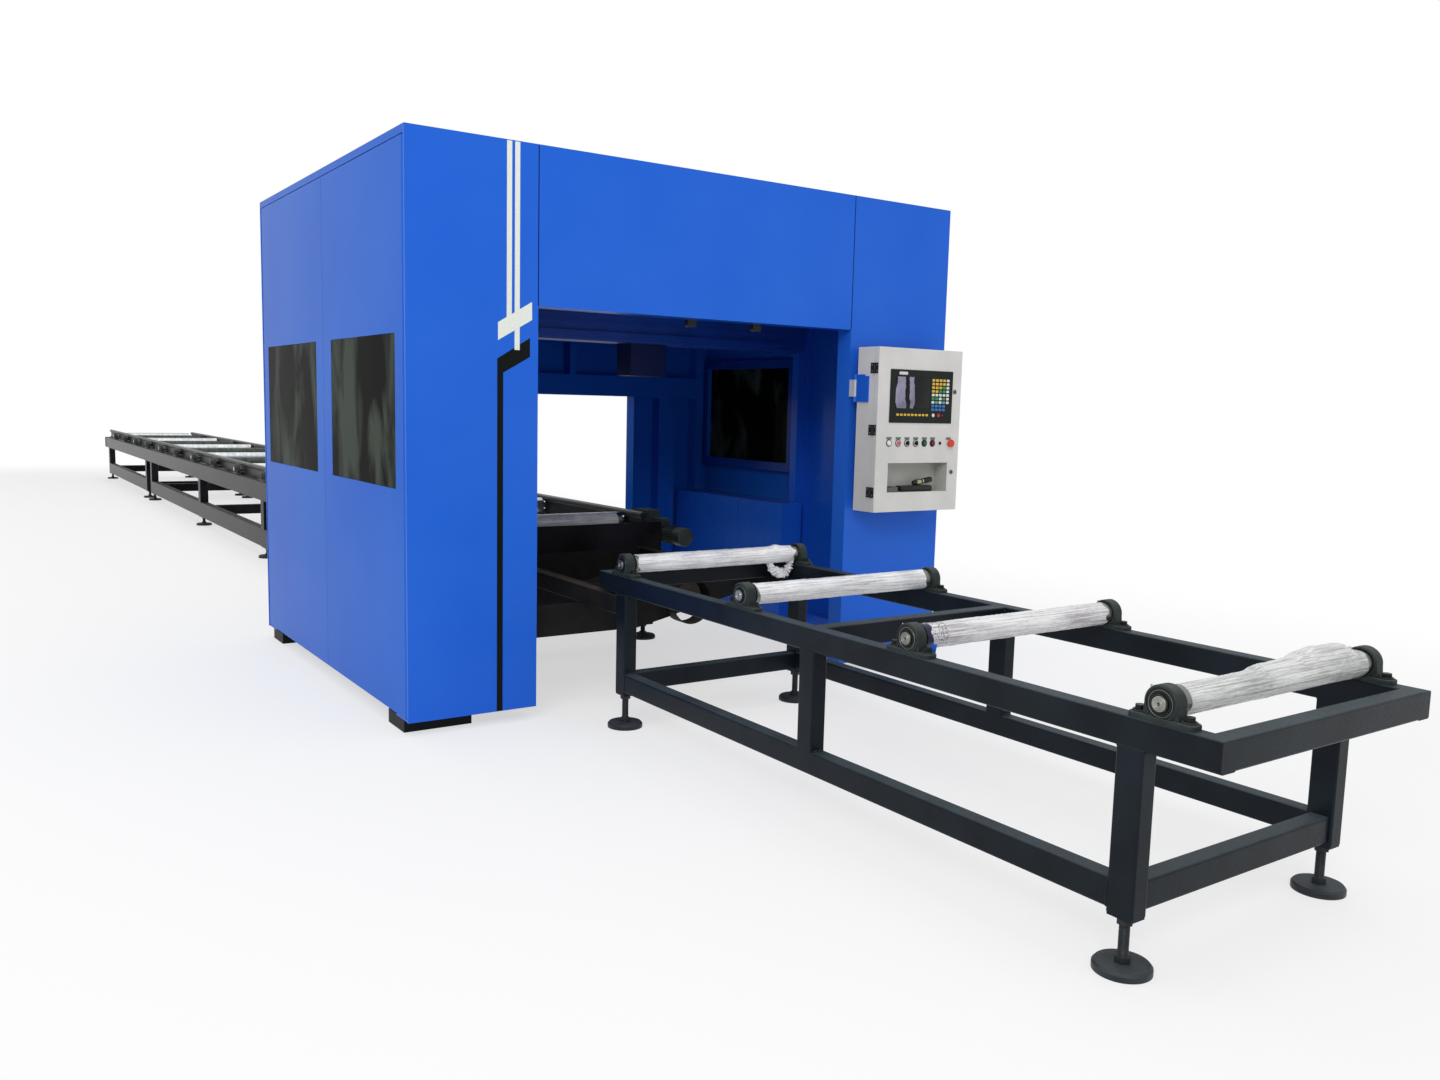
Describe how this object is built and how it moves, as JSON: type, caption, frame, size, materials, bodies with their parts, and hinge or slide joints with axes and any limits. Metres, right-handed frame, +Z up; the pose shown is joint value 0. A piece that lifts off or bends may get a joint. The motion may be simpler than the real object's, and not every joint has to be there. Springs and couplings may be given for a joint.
{
  "type": "beam cutting machine",
  "caption": "Walk-through beam cutting cabin with swing-out control box, infeed roller table, long outfeed roller conveyor and a torch that travels, lifts, turns and tilts.",
  "frame": {"origin": "centre of the whole line's footprint, on the floor", "axes": "+X along the line towards the infeed table, +Y towards the control box side, +Z up"},
  "size_m": [19.742, 3, 2.474],
  "materials": {
    "cabin_paint": "gloss blue sheet",
    "frame_paint": "blue-black satin tube",
    "outfeed_paint": "dark grey satin tube",
    "box_paint": "light grey fine texture",
    "window_glass": "dark tinted",
    "roller_steel": "drawn tube",
    "bearing_iron": "grey-green cast",
    "zinc_steel": "zinc plated",
    "foot_steel": "black oxide",
    "machine_steel": "ground",
    "head_paint": "dark satin",
    "tray_paint": "matte black sheet",
    "motor_paint": "grey-blue enamel",
    "torch_brass": "machined",
    "panel_black": "fine grain",
    "button_white": "moulded lens",
    "button_red": "moulded",
    "button_dark_red": "moulded",
    "button_green": "moulded"
  },
  "bodies": {
    "machine": {"cabin_front": "cabin_paint", "cabin_back": "cabin_paint", "cabin_roof": "cabin_paint", "side_frame_left": "cabin_paint", "side_frame_right": "cabin_paint", "infeed_frame": "frame_paint", "outfeed_frame_near": "outfeed_paint", "outfeed_frame_far": "outfeed_paint", "guide_left": "outfeed_paint", "guide_right": "outfeed_paint", "pillow_blocks": "bearing_iron", "bearing_bolts": "zinc_steel", "gearmotor": "motor_paint", "levelling_feet": "foot_steel", "gantry_beam": "head_paint", "slag_tray": "tray_paint", "hinge_block": "box_paint"},
    "left_front_door": {"door_left_front": "cabin_paint", "pane_left_front": "window_glass"},
    "left_back_door": {"door_left_back": "cabin_paint", "pane_left_back": "window_glass"},
    "right_back_door": {"door_right_back": "cabin_paint", "pane_right_back": "window_glass"},
    "carriage": {"torch_carriage": "head_paint"},
    "ram": {"torch_ram": "machine_steel"},
    "swivel": {"torch_swivel": "machine_steel"},
    "torch": {"torch_head": "torch_brass"},
    "control_box": {"box_body": "box_paint", "drive_plate": "zinc_steel"},
    "control_door": {"box_door": "box_paint", "cnc_unit": "panel_black", "button_collars": "zinc_steel"},
    "infeed_roller_1": {"infeed_roller_1": "roller_steel"},
    "infeed_roller_2": {"infeed_roller_2": "roller_steel"},
    "infeed_roller_3": {"infeed_roller_3": "roller_steel"},
    "infeed_roller_4": {"infeed_roller_4": "roller_steel"},
    "outfeed_roller_01": {"outfeed_roller_01": "roller_steel"},
    "outfeed_roller_02": {"outfeed_roller_02": "roller_steel"},
    "outfeed_roller_03": {"outfeed_roller_03": "roller_steel"},
    "outfeed_roller_04": {"outfeed_roller_04": "roller_steel"},
    "outfeed_roller_05": {"outfeed_roller_05": "roller_steel"},
    "outfeed_roller_06": {"outfeed_roller_06": "roller_steel"},
    "outfeed_roller_07": {"outfeed_roller_07": "roller_steel"},
    "outfeed_roller_08": {"outfeed_roller_08": "roller_steel"},
    "outfeed_roller_09": {"outfeed_roller_09": "roller_steel"},
    "outfeed_roller_10": {"outfeed_roller_10": "roller_steel"},
    "outfeed_roller_11": {"outfeed_roller_11": "roller_steel"},
    "outfeed_roller_12": {"outfeed_roller_12": "roller_steel"},
    "outfeed_roller_13": {"outfeed_roller_13": "roller_steel"},
    "outfeed_roller_14": {"outfeed_roller_14": "roller_steel"},
    "button_white": {"button_white": "button_white"},
    "button_red_lit": {"button_red_lit": "button_red"},
    "button_green": {"button_green": "button_green"},
    "button_dark_red": {"button_dark_red": "button_dark_red"},
    "emergency_stop": {"emergency_stop": "button_red"},
    "selector_left": {"selector_left": "panel_black"},
    "selector_right": {"selector_right": "panel_black"},
    "lock_upper": {"lock_upper": "zinc_steel"},
    "lock_lower": {"lock_lower": "zinc_steel"}
  },
  "joints": [
    {"name": "left_front_door_swing", "type": "hinge", "parent": "machine", "child": "left_front_door", "pos_m": [6.745, -1.48, 1.2], "axis": [0, 0, 1], "range_deg": [0, 90]},
    {"name": "left_back_door_swing", "type": "hinge", "parent": "machine", "child": "left_back_door", "pos_m": [4.413, -1.48, 1.2], "axis": [0, 0, 1], "range_deg": [-90, 0]},
    {"name": "right_back_door_swing", "type": "hinge", "parent": "machine", "child": "right_back_door", "pos_m": [4.413, 1.48, 1.2], "axis": [0, 0, 1], "range_deg": [0, 90]},
    {"name": "infeed_roller_1_turn", "type": "hinge", "parent": "machine", "child": "infeed_roller_1", "pos_m": [7.056, -0.16, 0.714], "axis": [0, 1, 0], "continuous": true},
    {"name": "infeed_roller_2_turn", "type": "hinge", "parent": "machine", "child": "infeed_roller_2", "pos_m": [7.936, -0.16, 0.714], "axis": [0, 1, 0], "continuous": true},
    {"name": "infeed_roller_3_turn", "type": "hinge", "parent": "machine", "child": "infeed_roller_3", "pos_m": [8.816, -0.16, 0.714], "axis": [0, 1, 0], "continuous": true},
    {"name": "infeed_roller_4_turn", "type": "hinge", "parent": "machine", "child": "infeed_roller_4", "pos_m": [9.696, -0.16, 0.714], "axis": [0, 1, 0], "continuous": true},
    {"name": "outfeed_roller_01_turn", "type": "hinge", "parent": "machine", "child": "outfeed_roller_01", "pos_m": [5.289, -0.16, 0.701], "axis": [0, 1, 0], "continuous": true},
    {"name": "outfeed_roller_02_turn", "type": "hinge", "parent": "machine", "child": "outfeed_roller_02", "pos_m": [4.199, -0.16, 0.701], "axis": [0, 1, 0], "continuous": true},
    {"name": "outfeed_roller_03_turn", "type": "hinge", "parent": "machine", "child": "outfeed_roller_03", "pos_m": [3.109, -0.16, 0.701], "axis": [0, 1, 0], "continuous": true},
    {"name": "outfeed_roller_04_turn", "type": "hinge", "parent": "machine", "child": "outfeed_roller_04", "pos_m": [2.019, -0.16, 0.701], "axis": [0, 1, 0], "continuous": true},
    {"name": "outfeed_roller_05_turn", "type": "hinge", "parent": "machine", "child": "outfeed_roller_05", "pos_m": [0.929, -0.16, 0.701], "axis": [0, 1, 0], "continuous": true},
    {"name": "outfeed_roller_06_turn", "type": "hinge", "parent": "machine", "child": "outfeed_roller_06", "pos_m": [-0.161, -0.16, 0.701], "axis": [0, 1, 0], "continuous": true},
    {"name": "outfeed_roller_07_turn", "type": "hinge", "parent": "machine", "child": "outfeed_roller_07", "pos_m": [-1.251, -0.16, 0.701], "axis": [0, 1, 0], "continuous": true},
    {"name": "outfeed_roller_08_turn", "type": "hinge", "parent": "machine", "child": "outfeed_roller_08", "pos_m": [-2.341, -0.16, 0.701], "axis": [0, 1, 0], "continuous": true},
    {"name": "outfeed_roller_09_turn", "type": "hinge", "parent": "machine", "child": "outfeed_roller_09", "pos_m": [-3.431, -0.16, 0.701], "axis": [0, 1, 0], "continuous": true},
    {"name": "outfeed_roller_10_turn", "type": "hinge", "parent": "machine", "child": "outfeed_roller_10", "pos_m": [-4.521, -0.16, 0.701], "axis": [0, 1, 0], "continuous": true},
    {"name": "outfeed_roller_11_turn", "type": "hinge", "parent": "machine", "child": "outfeed_roller_11", "pos_m": [-5.611, -0.16, 0.701], "axis": [0, 1, 0], "continuous": true},
    {"name": "outfeed_roller_12_turn", "type": "hinge", "parent": "machine", "child": "outfeed_roller_12", "pos_m": [-6.701, -0.16, 0.701], "axis": [0, 1, 0], "continuous": true},
    {"name": "outfeed_roller_13_turn", "type": "hinge", "parent": "machine", "child": "outfeed_roller_13", "pos_m": [-7.791, -0.16, 0.701], "axis": [0, 1, 0], "continuous": true},
    {"name": "outfeed_roller_14_turn", "type": "hinge", "parent": "machine", "child": "outfeed_roller_14", "pos_m": [-8.881, -0.16, 0.701], "axis": [0, 1, 0], "continuous": true},
    {"name": "carriage_travel", "type": "slide", "parent": "machine", "child": "carriage", "axis": [0, 1, 0], "range_m": [-0.07, 1.98]},
    {"name": "ram_lift", "type": "slide", "parent": "carriage", "child": "ram", "axis": [0, 0, 1], "range_m": [-0.35, 0]},
    {"name": "swivel_turn", "type": "hinge", "parent": "ram", "child": "swivel", "pos_m": [5.817, -0.95, 1.48], "axis": [0, 0, 1], "range_deg": [-180, 180]},
    {"name": "torch_tilt", "type": "hinge", "parent": "swivel", "child": "torch", "pos_m": [5.817, -0.95, 1.35], "axis": [0, 1, 0], "range_deg": [-45, 45]},
    {"name": "control_box_swing", "type": "hinge", "parent": "machine", "child": "control_box", "pos_m": [6.827, 0.832, 1.5], "axis": [0, 0, 1], "range_deg": [-90, 0]},
    {"name": "control_door_swing", "type": "hinge", "parent": "control_box", "child": "control_door", "pos_m": [6.968, 0.8285, 1.3], "axis": [0, 0, 1], "range_deg": [-110, 0]},
    {"name": "button_white_press", "type": "slide", "parent": "control_door", "child": "button_white", "axis": [1, 0, 0], "range_m": [-0.004, 0], "stiffness_N_per_m": 400},
    {"name": "button_red_lit_press", "type": "slide", "parent": "control_door", "child": "button_red_lit", "axis": [1, 0, 0], "range_m": [-0.004, 0], "stiffness_N_per_m": 400},
    {"name": "button_green_press", "type": "slide", "parent": "control_door", "child": "button_green", "axis": [1, 0, 0], "range_m": [-0.004, 0], "stiffness_N_per_m": 400},
    {"name": "button_dark_red_press", "type": "slide", "parent": "control_door", "child": "button_dark_red", "axis": [1, 0, 0], "range_m": [-0.004, 0], "stiffness_N_per_m": 400},
    {"name": "emergency_stop_press", "type": "slide", "parent": "control_door", "child": "emergency_stop", "axis": [1, 0, 0], "range_m": [-0.005, 0], "stiffness_N_per_m": 600},
    {"name": "selector_left_turn", "type": "hinge", "parent": "control_door", "child": "selector_left", "pos_m": [6.99, 1.044, 1.236], "axis": [1, 0, 0], "range_deg": [-45, 45]},
    {"name": "selector_right_turn", "type": "hinge", "parent": "control_door", "child": "selector_right", "pos_m": [6.99, 1.105, 1.236], "axis": [1, 0, 0], "range_deg": [-45, 45]},
    {"name": "lock_upper_turn", "type": "hinge", "parent": "control_door", "child": "lock_upper", "pos_m": [6.98, 1.37, 1.504], "axis": [1, 0, 0], "range_deg": [0, 90]},
    {"name": "lock_lower_turn", "type": "hinge", "parent": "control_door", "child": "lock_lower", "pos_m": [6.98, 1.37, 1.084], "axis": [1, 0, 0], "range_deg": [0, 90]}
  ]
}
